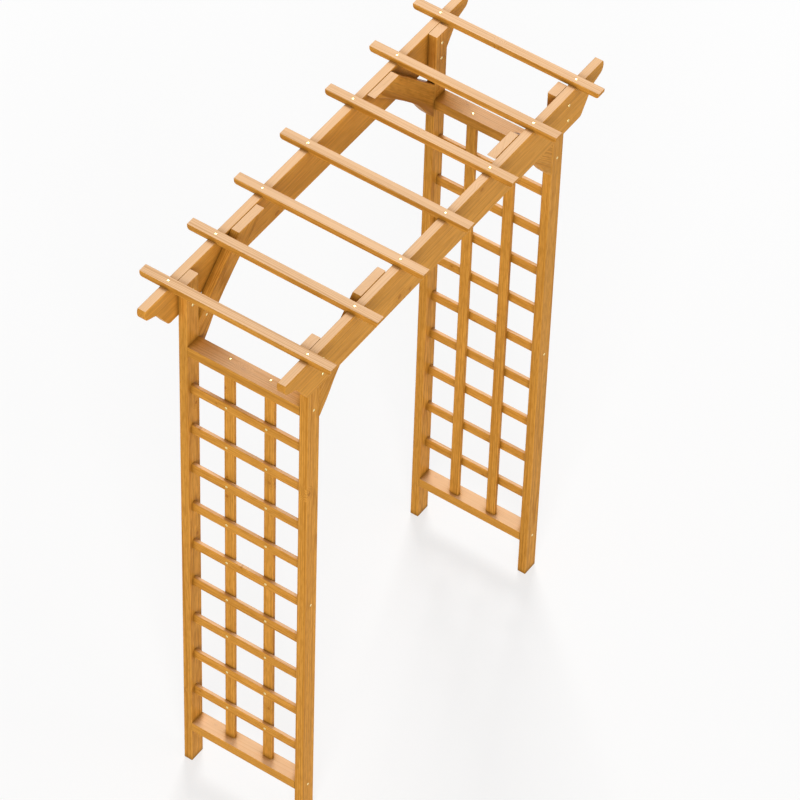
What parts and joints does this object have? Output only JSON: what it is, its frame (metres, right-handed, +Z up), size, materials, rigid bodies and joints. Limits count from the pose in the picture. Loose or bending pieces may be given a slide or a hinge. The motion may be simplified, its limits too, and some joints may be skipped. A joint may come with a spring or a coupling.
{
  "type": "garden arch",
  "caption": "Wooden garden arch with trellis sides, shaped beams on corner braces, and notched slats laid across the top.",
  "frame": {"origin": "on the ground, midway between the four posts", "axes": "+X along the beams, across the passage; +Y through the passage, from its front to its rear; +Z up"},
  "size_m": [1.525, 0.623, 2.0478],
  "materials": {
    "post_wood": "planed softwood, satin",
    "beam_wood": "planed softwood, satin",
    "cross_slat_wood": "planed softwood, satin",
    "brace_wood": "planed softwood, satin",
    "board_wood": "planed softwood, satin",
    "rung_wood": "planed softwood, satin",
    "slat_wood": "planed softwood, satin",
    "screw_steel": "plated, satin",
    "bolt_steel": "plated, satin"
  },
  "bodies": {
    "root": {"beam_front": "beam_wood", "beam_rear": "beam_wood", "board_screw_left_front": "screw_steel", "board_screw_left_rear": "screw_steel", "board_screw_right_front": "screw_steel", "board_screw_right_rear": "screw_steel", "bottom_board_left": "board_wood", "bottom_board_right": "board_wood", "brace_left_front": "brace_wood", "brace_left_rear": "brace_wood", "brace_right_front": "brace_wood", "brace_right_rear": "brace_wood", "brace_screw_left_front": "screw_steel", "brace_screw_left_rear": "screw_steel", "brace_screw_right_front": "screw_steel", "brace_screw_right_rear": "screw_steel", "cross_slat_1": "cross_slat_wood", "cross_slat_2": "cross_slat_wood", "cross_slat_3": "cross_slat_wood", "cross_slat_4": "cross_slat_wood", "cross_slat_5": "cross_slat_wood", "cross_slat_6": "cross_slat_wood", "cross_slat_7": "cross_slat_wood", "joint_bolt_left_front_lower": "bolt_steel", "joint_bolt_left_front_upper": "bolt_steel", "joint_bolt_left_rear_lower": "bolt_steel", "joint_bolt_left_rear_upper": "bolt_steel", "joint_bolt_right_front_lower": "bolt_steel", "joint_bolt_right_front_upper": "bolt_steel", "joint_bolt_right_rear_lower": "bolt_steel", "joint_bolt_right_rear_upper": "bolt_steel", "post_left_front": "post_wood", "post_left_rear": "post_wood", "post_right_front": "post_wood", "post_right_rear": "post_wood", "rung_left_1": "rung_wood", "rung_left_2": "rung_wood", "rung_left_3": "rung_wood", "rung_left_4": "rung_wood", "rung_left_5": "rung_wood", "rung_left_6": "rung_wood", "rung_left_7": "rung_wood", "rung_left_8": "rung_wood", "rung_left_9": "rung_wood", "rung_right_1": "rung_wood", "rung_right_2": "rung_wood", "rung_right_3": "rung_wood", "rung_right_4": "rung_wood", "rung_right_5": "rung_wood", "rung_right_6": "rung_wood", "rung_right_7": "rung_wood", "rung_right_8": "rung_wood", "rung_right_9": "rung_wood", "slat_left_front": "slat_wood", "slat_left_rear": "slat_wood", "slat_right_front": "slat_wood", "slat_right_rear": "slat_wood", "top_board_left": "board_wood", "top_board_right": "board_wood"}
  },
  "joints": []
}
